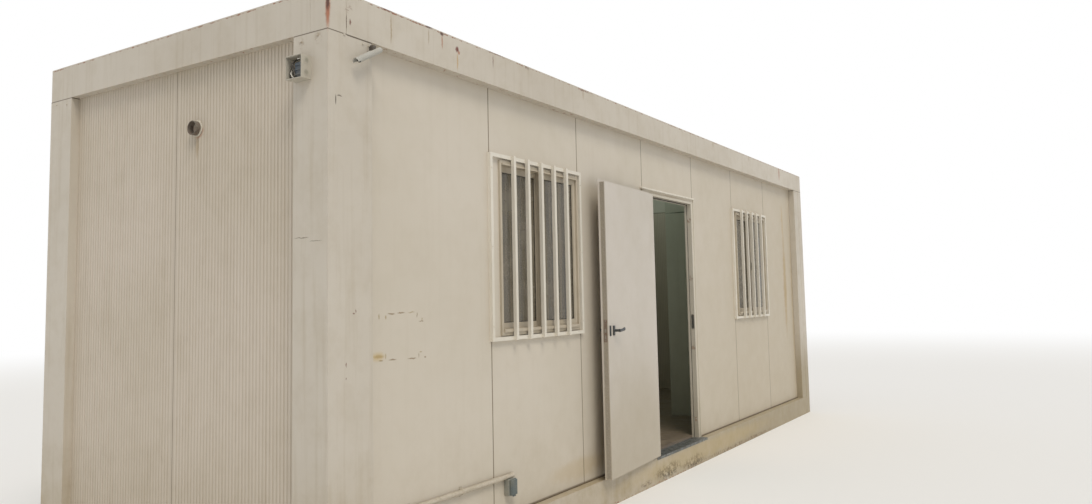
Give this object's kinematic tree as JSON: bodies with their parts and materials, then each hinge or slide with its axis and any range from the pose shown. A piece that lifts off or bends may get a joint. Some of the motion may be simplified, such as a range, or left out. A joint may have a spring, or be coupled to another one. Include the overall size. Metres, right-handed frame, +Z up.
{
  "type": "portable site cabin",
  "caption": "Steel-framed portable site cabin with sandwich-panel walls, a hinged door that opens outward and two barred windows.",
  "frame": {"origin": "on the ground under the middle of the cabin, on the underside of the middle floor member", "axes": "+X along the long side, away from the end with the vent stub; -Y is the side with the door; +Z up"},
  "size_m": [7.608, 2.4321, 2.8],
  "materials": {
    "frame_paint": "old cream paint on folded steel, dusty, rust at seams",
    "wall_skin": "cream coil-coated steel skin, faded and dusty",
    "end_wall_skin": "cream coil-coated steel skin with fine rolled ribs",
    "door_paint": "off-white paint on a steel door",
    "door_frame_paint": "off-white paint on folded steel",
    "threshold_metal": "worn grey steel",
    "handle_black": "black powder coat",
    "hinge_steel": "painted steel hinges",
    "latch_steel": "bright steel with rust marks",
    "window_frame_paint": "cream window profile",
    "window_glass": "dusty dark glass",
    "guard_paint": "off-white paint on square bar",
    "floor_vinyl": "worn brown-grey vinyl floor",
    "ceiling_skin": "white coated steel",
    "partition_skin": "pale olive coated steel",
    "roof_zinc": "galvanised steel",
    "underframe_steel": "dark primer on steel",
    "conduit_plastic": "cream plastic conduit",
    "socket_grey": "grey moulded plastic",
    "junction_grey": "grey sheet steel, weathered",
    "camera_white": "white moulded plastic",
    "vent_metal": "steel pipe with a rust ring"
  },
  "bodies": {
    "cabin": {"corner_post_front_left": "frame_paint", "corner_post_front_right": "frame_paint", "corner_post_rear_left": "frame_paint", "corner_post_rear_right": "frame_paint", "base_rail_front": "frame_paint", "base_rail_rear": "frame_paint", "base_rail_left": "frame_paint", "base_rail_right": "frame_paint", "roof_rail_front": "frame_paint", "roof_rail_rear": "frame_paint", "roof_rail_left": "frame_paint", "roof_rail_right": "frame_paint", "base_corner_blocks": "frame_paint", "roof_corner_blocks": "frame_paint", "front_panel_1": "wall_skin", "front_panel_2": "wall_skin", "front_panel_3": "wall_skin", "front_panel_5": "wall_skin", "front_panel_6": "wall_skin", "front_panel_7": "wall_skin", "front_panel_over_door": "wall_skin", "rear_wall_panels": "wall_skin", "left_end_wall": "end_wall_skin", "right_end_wall": "end_wall_skin", "floor_cross_members": "underframe_steel", "roof_purlins": "roof_zinc", "roof_sheet": "roof_zinc", "floor_deck": "floor_vinyl", "ceiling_panel": "ceiling_skin", "inner_partition_sides": "partition_skin", "inner_partition_head": "partition_skin", "door_frame": "door_frame_paint", "door_threshold": "threshold_metal", "door_hinge_posts": "hinge_steel", "window_frame_left": "window_frame_paint", "window_frame_right": "window_frame_paint", "window_sashes": "window_frame_paint", "window_glass": "window_glass", "window_guard_left": "guard_paint", "window_guard_right": "guard_paint", "wall_conduit": "conduit_plastic", "socket_box": "socket_grey", "junction_box": "junction_grey", "watch_camera": "camera_white", "vent_stub": "vent_metal"},
    "door": {"door_leaf": "door_paint", "door_handles": "handle_black", "door_hinge_flags": "hinge_steel", "door_latch_plate": "latch_steel"}
  },
  "joints": [
    {"name": "door_hinge", "type": "hinge", "parent": "cabin", "child": "door", "pos_m": [-0.4595, -1.113, 1.2], "axis": [0, 0, 1], "range_deg": [0, 176]}
  ]
}
